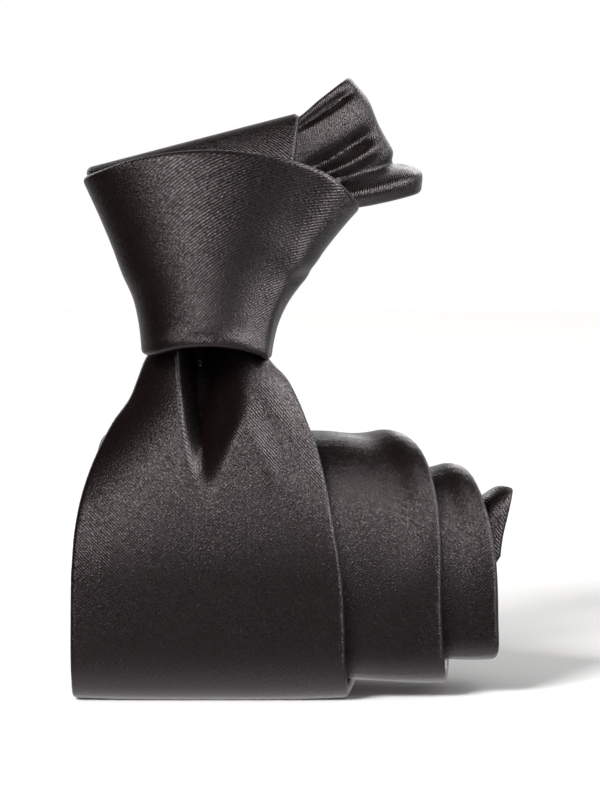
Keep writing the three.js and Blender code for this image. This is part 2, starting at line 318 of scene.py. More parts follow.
def on_path(length):
    """Y and Z of the blade's path at a length, and its direction there."""
    ahead = length + STEP_AHEAD
    y, z = (np.interp(length, ALONG, PATH[:, i]) for i in (0, 1))
    run = np.stack([np.interp(ahead, ALONG, PATH[:, i]) for i in (0, 1)], -1)
    run = run - np.stack([y, z], -1)
    run /= np.linalg.norm(run, axis=-1, keepdims=True) + TINY
    return y, z, run


# Left and right edges of the apron at heights above the floor.
APRON_EDGES = [
    (84, -10.5, 7.5),
    (74, -13.4, 9.6),
    (71, -15.2, 11.4),
    (67.5, -16.6, 14.8),
    (63.6, -18.2, 17.0),
    (58.6, -21.7, 19.1),
    (53.7, -24.2, 20.9),
    (48.8, -26.2, 22.2),
    (43.9, -27.7, 23.2),
    (36.5, -29.1, 24.4),
    (27.0, -29.8, 25.8),
]
# The right edge in the roll, by turns, and the band's width there.
ROLL_RIGHT = [
    (0.1, 26.9),
    (0.25, 28.6),
    (0.5, 32.0),
    (0.68, 36.6),
    (0.75, 39.4),
    (0.80, 42.4),
    (0.86, 45.0),
    (1.0, 46.6),
    (1.15, 47.4),
    (1.25, 48.0),
    (1.5, 48.8),
    (1.68, 50.4),
    (1.75, 52.0),
    (1.80, 53.8),
    (1.87, 56.4),
    (2.0, 58.2),
    (2.12, 58.2),
    (2.22, 57.0),
    (2.5, 57.2),
    (2.66, 58.9),
    (2.72, 60.4),
    (2.76, 61.5),
    (2.80, 60.9),
    (2.86, 59.4),
    (2.95, 58.3),
    (3.05, 57.5),
    (TURNS, 57.0),
]
WIDTH_AT = [
    (0.1, 56.7),
    (0.5, 59.5),
    (1.0, 63.6),
    (2.0, 70.5),
    (2.9, BLADE_WIDEST),
    (TURNS, 76),
]

edge_right = eased(
    *[(height_to_length(z), right) for z, left, right in APRON_EDGES],
    *[(length_at(t), right) for t, right in ROLL_RIGHT],
)
width_in_roll = eased(*[(length_at(t), width) for t, width in WIDTH_AT])
left_on_apron = eased(*[(height_to_length(z), left) for z, left, right in APRON_EDGES])


def edge_left(length):
    """The left edge's own line on the apron, and one width from the right edge in the roll."""
    in_roll = rise(length, height_to_length(30), length_at(0.1) + 10)
    wound = edge_right(length) - width_in_roll(length)
    return left_on_apron(length) * (1 - in_roll) + wound * in_roll


# ---- Bands of cloth ----


class Band:
    """A lined band: a satin envelope folded round an interlining, its two flaps meeting along the
    back.

    face(across, along) gives points of the satin face; across is -1 at the left edge and 1 at the
    right. width(along) is the face's width, and point, where it isn't 0, is where the band ends in
    a right-angled point.
    """

    def __init__(self, face, width, thick, start, end, point=0.0):
        self.face, self.width, self.thick = face, width, thick
        self.start, self.end, self.point = start, end, point

        middle = self.face(np.zeros(400), np.linspace(start, end, 400))
        self.length = float(np.sum(np.linalg.norm(np.diff(middle, axis=0), axis=1)))

    def cut(self, start, end, width):
        """The flat size, in metres, and the area of cloth cut for a stretch of the band."""
        widths = width(np.linspace(start, end, 200))
        length = self.length * (end - start) / (self.end - self.start)
        area = float(np.mean(widths)) * length * MM * MM
        return {"flat": (float(np.max(widths)) * MM, length * MM), "area": area}

    def half(self, along):
        """Half the face's width, which narrows to the point."""
        half = self.width(along) / 2
        if self.point:
            half = np.minimum(half, np.maximum(self.point - along, 1.0))
        return half

    def sunk(self, across, along, depth):
        """Points at a depth below the face. across and depth are in millimetres."""
        share = across / (self.width(along) / 2)
        ahead, aside = 0.25, 0.02
        here = self.face(share, along)
        run = self.face(share, along + ahead) - self.face(share, along - ahead)
        side = self.face(share + aside, along) - self.face(share - aside, along)
        normal = np.cross(run, side)
        normal /= np.linalg.norm(normal, axis=-1, keepdims=True)
        return here - normal * depth[..., None]


def rows(start, end, step):
    """Places from start to end, about one step apart."""
    return np.linspace(start, end, max(2, round((end - start) / step) + 1))


def grid(name, across, along, place):
    """A grid of cloth: place(across, along) moves each point of a flat primitive to its place,
    and the piece's UV map holds across and along, in thousandths."""
    bpy.ops.object.select_all(action="DESELECT")
    bpy.ops.mesh.primitive_grid_add(
        x_subdivisions=len(across) - 1, y_subdivisions=len(along) - 1, size=1
    )
    piece = bpy.context.active_object
    piece.name = piece.data.name = name
    mesh = piece.data
    flat = np.empty(len(mesh.vertices) * 3)
    mesh.vertices.foreach_get("co", flat)
    flat = flat.reshape(-1, 3)
    i = np.rint((flat[:, 0] + 0.5) * (len(across) - 1)).astype(int)
    j = np.rint((0.5 - flat[:, 1]) * (len(along) - 1)).astype(int)
    u, v = np.array(across)[i], np.array(along)[j]
    mesh.vertices.foreach_set("co", (place(u, v) * MM).ravel())
    corners = np.empty(len(mesh.loops), int)
    mesh.loops.foreach_get("vertex_index", corners)
    uv = np.stack([u[corners], v[corners]], -1) * MM
    mesh.uv_layers.active.data.foreach_set("uv", uv.ravel())
    mesh.update()
    return piece


def apply_modifier(piece, kind, **settings):
    """Adds a modifier and applies it at once, so that none is left on the piece."""
    bpy.context.view_layer.objects.active = piece
    modifier = piece.modifiers.new(kind, kind)
    for key, value in settings.items():
        setattr(modifier, key, value)
    bpy.ops.object.modifier_apply(modifier=modifier.name)


def finish(piece, stands_for, slot, body):
    """Smooth shading, the slot's material, the CAD node that the piece stands for, and the CAD
    body or pair of bodies that it moves with."""
    bpy.ops.object.select_all(action="DESELECT")
    piece.select_set(True)
    bpy.context.view_layer.objects.active = piece
    bpy.ops.object.shade_smooth_by_angle(angle=math.radians(50))
    piece.data.materials.clear()
    piece.data.materials.append(FINISHES[slot])
    if isinstance(body, str):
        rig.ride(piece, body)
    else:
        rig.blend(piece, *body)
    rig.replaces(piece, stands_for)
    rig.slot(piece, slot)


def flat_places(piece, place):
    """Rewrites the UV map: place(across, along) turns the grid's own values to millimetres."""
    layer = piece.data.uv_layers.active.data
    uv = np.empty(len(piece.data.loops) * 2)
    layer.foreach_get("uv", uv)
    across, along = uv.reshape(-1, 2).T / MM
    layer.foreach_set("uv", (np.stack(place(across, along), -1) * MM).ravel())


FLAP_GAP = 0.5  # between the flaps' free edges, along the seam
NARROWEST = 0.4  # half the face's width where a point ends
FOLD_STEPS = 9


def section_of(thick, columns):
    """An envelope's section, from the left flap's free edge round the face to the right flap's.

    Each column is (share of the face's half width, millimetres beside it, depth).
    """
    radius = thick / 2
    fold = np.linspace(0, np.pi, FOLD_STEPS)[1:-1]
    right = [(1.0, radius * math.sin(a), radius * (1 - math.cos(a))) for a in fold]
    right += [(share, 0.0, thick) for share in np.linspace(1, 0, FOLD_STEPS)[:-1]]
    face = [(share, 0.0, 0.0) for share in np.linspace(-1, 1, columns)]
    left = [(-share, -beside, depth) for share, beside, depth in right[::-1]]
    return np.array([*left, *face, *right])


def envelope(name, stands_for, band, body, along, columns, held="folded"):
    """The satin of a band, as one sheet with its edges folded to the back, PLY thick. along is the
    places of its rows, and columns how many points lie across its face."""
    section = section_of(band.thick, columns)
    on_flap = (section[:, 2] > 0.99 * band.thick) & (np.abs(section[:, 0]) < 0.999)

    def place(column, v):
        i = np.rint(column).astype(int)
        share, beside, depth = section[i].T
        across = share * np.maximum(band.half(v) - band.thick / 2, NARROWEST) + beside
        opened = np.sign(across) * np.maximum(np.abs(across), FLAP_GAP / 2)
        return band.sunk(np.where(on_flap[i], opened, across), v, depth)

    def flat(column, v):
        """Measured round the folds, so that the weave keeps its size on the flaps."""
        i = np.rint(column).astype(int)
        share, beside, depth = section[i].T
        half = band.width(v) / 2
        side = np.sign(share)
        face_or_fold = share * half + beside + side * depth
        flap = side * (2 - np.abs(share)) * half
        stretch = band.length / (band.end - band.start)
        return np.where(on_flap[i], flap, face_or_fold), v * stretch

    piece = grid(name, np.arange(len(section)), along, place)
    flat_places(piece, flat)
    apply_modifier(piece, "SOLIDIFY", thickness=PLY * MM, offset=-1)
    cut = band.cut(band.start, band.end, lambda v: 4 * band.half(v) + 2 * band.thick)
    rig.sheet(piece, held=held, **cut)
    finish(piece, stands_for, "satin", body)


def slab(
    name, stands_for, slot, band, body, start, end, half, depth, thick, step=1.2, columns=60
):
    """A strip of cloth or thread along a band. half(along) is half its width, and depth, a number
    or a function of across and along, is how far its middle lies below the band's face."""

    def place(u, v):
        deep = depth(u, v) if callable(depth) else np.full_like(u, depth)
        return band.sunk(u * half(v), v, deep)

    piece = grid(name, np.linspace(-1, 1, columns), rows(start, end, step), place)
    flat_places(piece, lambda u, v: (u * half(v), v))
    apply_modifier(piece, "SOLIDIFY", thickness=thick * MM, offset=0)
    if slot != "stitching":
        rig.sheet(piece, held="folded", **band.cut(start, end, lambda v: 2 * half(v)))
    finish(piece, stands_for, slot, body)


# ---- Materials ----


def colour(text):
    """An sRGB hex colour as linear red, green, blue and alpha."""
    values = [int(text[i : i + 2], 16) / 255 for i in (1, 3, 5)]
    linear = [v / 12.92 if v <= 0.04045 else ((v + 0.055) / 1.055) ** 2.4 for v in values]
    return (*linear, 1.0)


def node(material, kind, settings=None, **links):
    """Adds a node. settings are its properties and sockets, by name or number; links join its
    sockets to other nodes' outputs, with _ for a space and _0 for the socket numbered 0."""
    made = material.node_tree.nodes.new(kind)
    for key, value in (settings or {}).items():
        if hasattr(made, key):
            setattr(made, key, value)
        else:
            made.inputs[int(key) if key.isdigit() else key].default_value = value
    for key, output in links.items():
        socket = made.inputs[int(key[1:]) if key[0] == "_" else key.replace("_", " ")]
        material.node_tree.links.new(output, socket)
    return made


def blank(name):
    """A new material with nothing but its output."""
    material = bpy.data.materials.new(name)
    material.use_nodes = True
    material.node_tree.nodes.clear()
    output = material.node_tree.nodes.new("ShaderNodeOutputMaterial")
    return material, output


SATIN_RIB = 0.0005
WOOL_WEAVE = 0.0006
WAVE_LENGTH = 2 * math.pi / 20  # the wave texture's scale at which one wave is one unit long


def woven_satin():
    """Silk satin, woven in a steep twill and cut on the bias: black, with a soft broad gloss that
    breaks up into the points of single threads. Its threads lie 0.08 mm apart; they are drawn as
    0.5 mm ribs, because finer ones can't show."""
    material, output = blank("black silk satin")
    place = node(material, "ShaderNodeUVMap")
    # UV is in metres. One unit of the ribs' coordinate is one rib, at 45 degrees on the bias.
    ribs_at = node(
        material,
        "ShaderNodeMapping",
        {"Rotation": (0, 0, math.radians(45)), "Scale": (1 / SATIN_RIB, 1 / SATIN_RIB, 1)},
        Vector=place.outputs["UV"],
    )
    ribs = node(
        material,
        "ShaderNodeTexWave",
        {
            "bands_direction": "X",
            "Scale": WAVE_LENGTH,
            "Distortion": 1.2,
            "Detail": 1.0,
            "Detail Scale": 0.8,
        },
        Vector=ribs_at.outputs["Vector"],
    )
    floats_at = node(
        material,
        "ShaderNodeMapping",
        {"Scale": (1.0, 0.45, 1)},
        Vector=ribs_at.outputs["Vector"],
    )
    threads = node(
        material,
        "ShaderNodeTexNoise",
        {"Scale": 2.4, "Detail": 0.0},
        Vector=floats_at.outputs["Vector"],
    )
    cloudy = node(
        material,
        "ShaderNodeTexNoise",
        {"Scale": 60.0, "Detail": 2.0},
        Vector=place.outputs["UV"],
    )
    height = node(
        material,
        "ShaderNodeMath",
        {"operation": "MULTIPLY_ADD", "1": 0.6},
        _0=ribs.outputs["Fac"],
        _2=threads.outputs["Fac"],
    )
    bump = node(
        material,
        "ShaderNodeBump",
        {"Strength": 0.7, "Distance": 0.0001},
        Height=height.outputs[0],
    )
    tint = node(
        material,
        "ShaderNodeMix",
        {"data_type": "RGBA", "6": colour("#0a0404"), "7": colour("#100807")},
        _0=cloudy.outputs["Fac"],
    )
    gloss = node(
        material,
        "ShaderNodeMapRange",
        {"From Min": 0.3, "From Max": 0.7, "To Min": 0.4, "To Max": 0.26},
        Value=threads.outputs["Fac"],
    )
    surface = node(
        material,
        "ShaderNodeBsdfPrincipled",
        {
            "IOR": 1.5,
            "Specular IOR Level": 0.55,
            "Specular Tint": colour("#fff1f4"),
        },
        Base_Color=tint.outputs["Result"],
        Roughness=gloss.outputs["Result"],
        Normal=bump.outputs["Normal"],
    )
    material.node_tree.links.new(surface.outputs[0], output.inputs["Surface"])
    return material


def brushed_wool():
    """Charcoal wool interlining: matt and slightly hairy, in a plain 0.6 mm weave."""
    material, output = blank("brushed charcoal wool")
    place = node(material, "ShaderNodeUVMap")
    weave = node(
        material,
        "ShaderNodeTexChecker",
        {"Scale": 1 / WOOL_WEAVE, "Color1": colour("#2e2b2a"), "Color2": colour("#232020")},
        Vector=place.outputs["UV"],
    )
    hairs = node(
        material,
        "ShaderNodeTexNoise",
        {"Scale": 900.0, "Detail": 3.0},
        Vector=place.outputs["UV"],
    )
    bump = node(
        material,
        "ShaderNodeBump",
        {"Strength": 0.5, "Distance": 0.0002},
        Height=hairs.outputs["Fac"],
    )
    surface = node(
        material,
        "ShaderNodeBsdfPrincipled",
        {"Roughness": 0.95, "Specular IOR Level": 0.2},
        Base_Color=weave.outputs["Color"],
        Normal=bump.outputs["Normal"],
    )
    material.node_tree.links.new(surface.outputs[0], output.inputs["Surface"])
    return material


def lining_cloth():
    """Black acetate tipping, plain woven and thin: smoother and duller than the satin."""
    material, output = blank("black acetate tipping")
    place = node(material, "ShaderNodeUVMap")
    weave = node(
        material,
        "ShaderNodeTexNoise",
        {"Scale": 2600.0, "Detail": 1.0},
        Vector=place.outputs["UV"],
    )
    bump = node(
        material,
        "ShaderNodeBump",
        {"Strength": 0.3, "Distance": 0.0001},
        Height=weave.outputs["Fac"],
    )
    tint = node(
        material,
        "ShaderNodeMix",
        {"data_type": "RGBA", "6": colour("#131011"), "7": colour("#1d191a")},
        _0=weave.outputs["Fac"],
    )
    surface = node(
        material,
        "ShaderNodeBsdfPrincipled",
        {"Roughness": 0.55, "Specular IOR Level": 0.4},
        Base_Color=tint.outputs["Result"],
        Normal=bump.outputs["Normal"],
    )
    material.node_tree.links.new(surface.outputs[0], output.inputs["Surface"])
    return material


def sewing_thread():
    """Twisted black silk thread: a fine slanting twist about 0.5 mm long, with a dull shine."""
    material, output = blank("black silk thread")
    place = node(material, "ShaderNodeUVMap")
    twist = node(
        material,
        "ShaderNodeTexWave",
        {"bands_direction": "DIAGONAL", "Scale": 1000.0},
        Vector=place.outputs["UV"],
    )
    bump = node(
        material,
        "ShaderNodeBump",
        {"Strength": 0.6, "Distance": 0.0001},
        Height=twist.outputs["Fac"],
    )
    tint = node(
        material,
        "ShaderNodeMix",
        {"data_type": "RGBA", "6": colour("#0e0b0c"), "7": colour("#1c1718")},
        _0=twist.outputs["Fac"],
    )
    surface = node(
        material,
        "ShaderNodeBsdfPrincipled",
        {"Roughness": 0.6},
        Base_Color=tint.outputs["Result"],
        Normal=bump.outputs["Normal"],
    )
    material.node_tree.links.new(surface.outputs[0], output.inputs["Surface"])
    return material


FINISHES = {
    "satin": woven_satin(),
    "interlining": brushed_wool(),
    "tipping": lining_cloth(),
    "stitching": sewing_thread(),
}


# ---- Camera, floor and light ----


MIDDLE = (0, 0, 60)  # what the lights stand round
CAMERA_TARGET = (17.2, -14, 62.0)
CAMERA_DISTANCE = 1800
CAMERA_ELEVATION = math.radians(7)
VIEW_HEIGHT = 164  # what the camera takes in from top to bottom, at the target
SENSOR = 36
FLOOR_SIZE, FLOOR_MIDDLE = 1.0, (0.02, 0.2, 0)  # in metres


def aim(thing, place, target):
    """Places a camera or light and turns it to face a point."""
    thing.location = Vector(place) * MM
    toward = (Vector(target) - Vector(place)).normalized()
    thing.rotation_euler = toward.to_track_quat("-Z", "Y").to_euler()


def camera():
    """Almost level with the necktie, straight in front and far off, as a long lens sees it."""
    bpy.ops.object.camera_add()
    made = bpy.context.active_object
    made.name = "camera"
    forward = -CAMERA_DISTANCE * math.cos(CAMERA_ELEVATION)
    back = (0, forward, CAMERA_DISTANCE * math.sin(CAMERA_ELEVATION))
    aim(made, [t + b for t, b in zip(CAMERA_TARGET, back)], CAMERA_TARGET)
    made.data.sensor_width = SENSOR
    made.data.lens = SENSOR * CAMERA_DISTANCE / VIEW_HEIGHT
    made.data.clip_start = 0.01
    bpy.context.scene.camera = made


def softbox(name, place, target, width, height, strength):
    """A soft studio light. strength is its brightness; white paper in full light is about 1."""
    bpy.ops.object.light_add(type="AREA")
    made = bpy.context.active_object
    made.name = name
    made.data.shape = "RECTANGLE"
    made.data.size, made.data.size_y = width * MM, height * MM
    made.data.energy = strength * math.pi * width * height * MM * MM
    aim(made, place, target)
    made.visible_camera = False
    return made


def around(azimuth, elevation, distance):
    """A place round the necktie: azimuth in degrees to the right of straight in front."""
    a, e = math.radians(azimuth), math.radians(elevation)
    out = distance * math.cos(e)
    return (out * math.sin(a), -out * math.cos(a), MIDDLE[2] + distance * math.sin(e))


def lay_floor():
    """A sheet of white paper, kept out of the satin's reflections."""
    bpy.ops.object.select_all(action="DESELECT")
    bpy.ops.mesh.primitive_plane_add(size=FLOOR_SIZE, location=FLOOR_MIDDLE)
    bpy.ops.object.transform_apply(location=True)
    floor = bpy.context.active_object
    floor.name = "floor"
    material, output = blank("white paper")
    surface = node(
        material,
        "ShaderNodeBsdfDiffuse",
        {"Color": colour("#fdfcfb")},
    )
    material.node_tree.links.new(surface.outputs[0], output.inputs["Surface"])
    floor.data.materials.append(material)
    floor.visible_glossy = False
    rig.stage(floor)


def surround():
    """The white room: plain white to the camera, a soft fill on the cloth, and in the satin's
    gloss a pale wall behind and a pale ground below."""
    world = bpy.data.worlds.new("studio")
    bpy.context.scene.world = world
    world.use_nodes = True
    world.node_tree.nodes.clear()
    place = node(world, "ShaderNodeTexCoord")
    parts = node(world, "ShaderNodeSeparateXYZ", Vector=place.outputs["Generated"])
    behind = node(
        world,
        "ShaderNodeMapRange",
        {"From Min": 0.3, "From Max": 0.85, "To Min": 0.01, "To Max": 0.8},
        Value=parts.outputs["Y"],
    )
    below = node(
        world,
        "ShaderNodeMapRange",
        {"From Min": -0.35, "From Max": -0.8, "To Min": 0.0, "To Max": 1.3},
        Value=parts.outputs["Z"],
    )
    reflected = node(
        world,
        "ShaderNodeMath",
        {"operation": "ADD"},
        _0=behind.outputs["Result"],
        _1=below.outputs["Result"],
    )
    path = node(world, "ShaderNodeLightPath")
    fill = node(
        world,
        "ShaderNodeMath",
        {"operation": "MULTIPLY", "1": 0.6},
        _0=path.outputs["Is Diffuse Ray"],
    )
    fill_or_seen = node(
        world,
        "ShaderNodeMath",
        {"operation": "MAXIMUM"},
        _0=fill.outputs[0],
        _1=path.outputs["Is Camera Ray"],
    )
    strength = node(
        world,
        "ShaderNodeMath",
        {"operation": "MAXIMUM"},
        _0=reflected.outputs[0],
        _1=fill_or_seen.outputs[0],
    )
    white = {"Color": (1, 1, 1, 1)}
    light = node(world, "ShaderNodeBackground", white, Strength=strength.outputs[0])
    node(world, "ShaderNodeOutputWorld", Surface=light.outputs[0])


def studio():
    """A key light that lights the cloth and casts the shadow, and five softboxes that show only
    as gloss on the satin."""
    key = softbox("key light", around(-36, 38, 2400), (0, 0, 30), 800, 800, 34)
    key.visible_glossy = False
    for name, place, target, width, height, strength in (
        ("front softbox", around(-8, 27, 900), MIDDLE, 460, 400, 9),
        ("right softbox", around(68, 12, 800), (10, 0, 90), 240, 480, 9),
        ("high right softbox", around(80, 36, 800), (30, 20, 110), 460, 400, 9),
        ("left rear softbox", around(-150, 22, 900), MIDDLE, 400, 400, 4),
        ("right rear softbox", around(162, 22, 900), MIDDLE, 400, 400, 4),
    ):
        gloss = softbox(name, place, target, width, height, strength)
        gloss.visible_diffuse = False
    view = bpy.context.scene.view_settings
    view.view_transform = "Standard"
    view.look = "None"


camera()
lay_floor()
surround()
studio()


# ---- The blade ----


def pinch(distance, left, right):
    """1 at the bottom of a pinched fold, with a soft lip at its left and right widths."""
    wide, lip = np.where(distance < 0, left, right), np.where(distance < 0, 1.5, 1.65)
    return np.clip(1 - np.sqrt(distance**2 + 0.5) / wide, 0, 1) ** lip


def dimple(x, z):
    """How far the apron sinks in at a place: the deep dimple below the knot, which is steep on
    the left and open on the right, a shallow fold beside it and a low ridge."""
    middle = eased((44, -2.4), (52, -3.0), (62, -3.7), (71, -4.2), (84, -4.2))(z)
    left = eased((44, 2.8), (50, 3.4), (55, 3.7), (62, 3.9), (71, 4.2), (84, 4.2))(z)
    right = eased((44, 4.0), (50, 5.4), (55, 7.8), (62, 11.8), (71, 14.3), (84, 14.5))(z)
    deep = eased(
        (42, 0.0), (45, 0.5), (49, 2.4), (55, 6.2), (62, 10.5), (71, 13.0), (84, 13.0)
    )(z)
    beside = eased((44, 15.0), (53, 12.9), (62, 8.5), (71, 5.5), (84, 5.5))(z)
    shallow = eased((45, 0.0), (53, 0.45), (62, 0.3), (71, 0.0), (84, 0.0))(z)
    ridge = eased((46, 11.2), (53, 8.0), (60, 3.0), (66, 0.0), (84, 0.0))(z)
    raised = eased((44, 0.0), (50, 0.35), (56, 0.5), (63, 0.3), (69, 0.0), (84, 0.0))(z)
    sink = deep * pinch(x - middle, left, right) + shallow * hump(x - beside, 2.3)
    return sink - raised * hump(x - ridge, 2.0)


# How far the face's edges round off to the back, down the apron and into the roll.
ROUND_OFF = eased(
    (height_to_length(84), 6.0),
    (height_to_length(71), 6.4),
    (height_to_length(60), 5.6),
    (height_to_length(50), 3.4),
    (height_to_length(40), 1.6),
    (height_to_length(28), 0.8),
    (length_at(0.12), 0.5),
    (length_at(0.5), 0.7),
)
FLARE_TURNS = 2.76  # where the last turn's free corner stands up
DIMPLE_FOOT = 42  # the dimple lies above this height


def blade_face(across, along):
    y, z, run = on_path(along)
    left, right = edge_left(along), edge_right(along)
    x = (left + right) / 2 + across * (right - left) / 2
    sink = np.where(along < height_to_length(DIMPLE_FOOT), dimple(x, z), 0)
    sharpness = 2.2 + 0.9 * rise(along, 8, 34)
    sink = sink + ROUND_OFF(along) * np.abs(across) ** sharpness

    # Past the first turn, the band's free right end sags below and tucks in on top.
    turns = turns_at(along)
    angle = 2 * np.pi * turns
    wound = rise(turns, 0.55, 0.8)
    top, bottom = np.clip(-np.sin(angle), 0, 1) ** 2, np.clip(np.sin(angle), 0, 1) ** 2
    inward = right - x
    sink = sink + wound * top * (0.6 * hump(inward - 10, 4.5) - 0.9 * hump(inward - 3.2, 3.0))
    sink = sink - wound * bottom * rise(across, 0.35, 1.0) * 1.5
    ripple = 0.35 * np.sin(x * 0.21 + 3.1 * turns) * np.sin(angle * 2 + 0.6)
    sink = sink + wound * ripple
    sink = sink - 3.2 * hump(turns - FLARE_TURNS, 0.06) * rise(across, 0.72, 1.0)

    y = y - run[..., 1] * sink
    z = z + run[..., 0] * sink
    return np.stack([x, y, np.maximum(z, 0.0)], -1)


def blade_width(along):
    return edge_right(along) - edge_left(along)


POINT_END = 0.6  # a point's last row stops this far short of its tip
BLADE_TOP = -9.0
APRON_END = 74
blade_end = BLADE_LENGTH - POINT_END
blade = Band(blade_face, blade_width, BLADE_THICK, BLADE_TOP, blade_end, point=BLADE_LENGTH)
# The blade and the tail bend from the roll to the knot at its mouth, between these heights in
# metres.
at_mouth = ("roll", "knot", (0, 0, 0.062), (0, 0, 0.079))
blade_rows = np.concatenate(
    [np.arange(BLADE_TOP, APRON_END, 0.8), np.arange(APRON_END, blade_end, 1.9), [blade_end]]
)
envelope("blade", "blade_shell", blade, at_mouth, blade_rows, 110, held="gathered")


# ---- The tail ----

TAIL_TOP = -6.0
TAIL_END = float(length_at(3.15))
TAIL_CLEAR = 0.25  # between the tail and the blade
TAIL_BEHIND = 9.0  # and how much further back the tail leaves the knot

tail_width = eased(
    (-30, 14), (0, 16), (14, 24), (40, 29), (340, 37), (372, TAIL_WIDEST), (420, TAIL_WIDEST)
)


def tail_face(across, along):
    """On the blade's inner side; along is measured on the blade's face."""
    centre = (edge_left(along) + edge_right(along)) / 2
    middle = np.where(along < 40, -1.8, 0) + centre * rise(along, 0, 60)
    whole = blade_width(along) / 2
    share = np.clip((middle + across * tail_width(along) / 2 - centre) / whole, -1.4, 1.4)
    y, z, run = on_path(along)
    depth = BLADE_THICK + TAIL_CLEAR + TAIL_BEHIND * (1 - rise(along, 2, 30))
    y = y - run[..., 1] * depth
    z = z + run[..., 0] * depth
    return np.stack([centre + share * whole, y, z], -1)


tail = Band(tail_face, tail_width, TAIL_THICK, TAIL_TOP, TAIL_END - POINT_END, point=TAIL_END)
envelope("tail", "tail_shell", tail, at_mouth, rows(tail.start, tail.end, 2.4), 24)


# ---- The knot ----

# Half-silhouettes of the front wrap, from its mouth (0) to its rim (1).
wrap_left = eased(
    (0, -15.3),
    (0.18, -16.0),
    (0.32, -17.2),
    (0.45, -19.3),
    (0.6, -21.3),
    (0.8, -24.3),
    (1, -27.6),
)
wrap_right = eased(
    (0, 11.3),
    (0.12, 11.9),
    (0.25, 13.0),
    (0.38, 15.0),
    (0.47, 17.0),
    (0.56, 19.4),
    (0.7, 22.0),
    (0.82, 24.9),
    (0.92, 27.5),
    (1, 29.8),
)
# Height of the rim and of the mouth by the angle round the knot, 0 in front and positive to
# the right.
rim_height = eased(
    (-140, 103.0),
    (-90, 106.4),
    (-60, 108.8),
    (-35, 111.6),
    (-8, 113.2),
    (20, 111.9),
    (45, 108.4),
    (68, 103.2),
    (90, 100.2),
    (140, 98.0),
)
mouth_height = eased(
    (-140, 73.0),
    (-90, 71.0),
    (-50, 71.6),
    (-20, 72.9),
    (5, 73.2),
    (30, 72.4),
    (60, 70.6),
    (90, 69.6),
    (140, 73.0),
)
LEAN_BACK, TURNED = 0.23, 0.13  # how far the face goes back for each millimetre up or right


def leaned(x, y, z):
    """The knot leans back from the blade, and its face turns a little to the right."""
    return np.stack([x, y - 1.5 + LEAN_BACK * (z - MOUTH_Z) + TURNED * (x + 2), z], -1)


def wrap_point(degrees, share):
    """A point on the front wrap's face, from the mouth, share 0, to the rim, share 1."""
    angle = np.radians(degrees)
    left, right = wrap_left(share), wrap_right(share)
    deep = 10.4 + 1.6 * share
    x = (left + right) / 2 + (right - left) / 2 * power(np.sin(angle), 0.97)
    y = KNOT_Y - deep * power(np.cos(angle), 0.97)
    z = mouth_height(degrees) + share * (rim_height(degrees) - mouth_height(degrees))
    # A soft ridge right of the middle, a crease that runs down to the right edge, and the rounded
    # lip where the cloth turns in at the mouth.
    ridge = -0.5 * hump(degrees - 62 + 6 * share, 11)
    crease = 0.5 * hump(share - 0.5 - (degrees - 70) / 260, 0.05) * rise(degrees, 35, 75)
    lip = -0.5 * hump(share - 0.04, 0.04) * rise(degrees, -70, -20) * (1 - rise(degrees, 50, 75))
    y = y + (ridge + crease + lip) * np.cos(angle)
    x = x - (ridge + crease + lip) * np.sin(angle)
    return leaned(x, y, z)


# Along the front and back wraps a millimetre is about two degrees round the knot.
DEGREES_PER_MM = 2.0
FRONT_REACH = 74.0
BACK_REACH = 31.0


def front_face(across, along):
    return wrap_point(along * DEGREES_PER_MM, (across + 1) / 2)


front_wrap = Band(front_face, level(38.0), BLADE_THICK, -FRONT_REACH, FRONT_REACH)
front_rows = rows(-FRONT_REACH, FRONT_REACH, 1.0)
envelope("knot_front_wrap", "knot_front_wrap_shell", front_wrap, "knot", front_rows, 46)

# The over wrap's left and right edges: up the back, over the top and down behind the front wrap.
OVER_LEFT = [
    (-12, 3.6, 80),
    (-13, 4.0, 92),
    (-17, 4.0, 102),
    (-23, 0.5, 107),
    (-26.6, -5.0, 108.6),
    (-26.0, -9.0, 107.2),
    (-21.5, -11.2, 101),
    (-16.5, -10.6, 88),
    (-10.0, -8.6, 76),
]
OVER_RIGHT = [
    (11, 3.6, 82),
    (12, 4.2, 94),
    (14, 4.2, 108),
    (15.8, 0.6, 116.5),
    (16.7, -5.0, 119.2),
    (16.9, -9.2, 117.6),
    (15.6, -12.0, 107),
    (11.5, -11.2, 90),
    (6.0, -8.6, 76),
]


def ruled(left_points, right_points):
    """A band's face and width between two edges. along runs from 0 to 100."""
    left, right = spline(left_points), spline(right_points)

    def face(across, along):
        share = ((across + 1) / 2)[..., None]
        t = along / 100
        return left(t) * (1 - share) + right(t) * share

    def width(along):
        return np.linalg.norm(right(along / 100) - left(along / 100), axis=-1)

    return face, width


over_ruled, over_width = ruled(OVER_LEFT, OVER_RIGHT)


def over_face(across, along):
    return leaned(*np.moveaxis(over_ruled(across, along), -1, 0))


over_wrap = Band(over_face, over_width, BLADE_THICK, 0.0, 100.0)
over_rows = rows(0.0, 100.0, 1.0)
envelope("knot_over_wrap", "knot_over_wrap_shell", over_wrap, "knot", over_rows, 40)


BACK_INSET = 4.6  # the back wrap lies this far inside the front wrap's outline


def back_face(across, along):
    """Round the back of the knot, inside the front wrap."""
    share = 0.12 + 0.78 * (across + 1) / 2
    angle = np.radians(180 - along * DEGREES_PER_MM)
    left, right = wrap_left(share), wrap_right(share)
    half = (right - left) / 2 - BACK_INSET
    deep = 9.2 + 1.5 * share - BACK_INSET
    x = (left + right) / 2 + half * power(np.sin(angle), 0.86)
    y = KNOT_Y - deep * power(np.cos(angle), 0.86)
    return leaned(x, y, MOUTH_Z + share * 32)


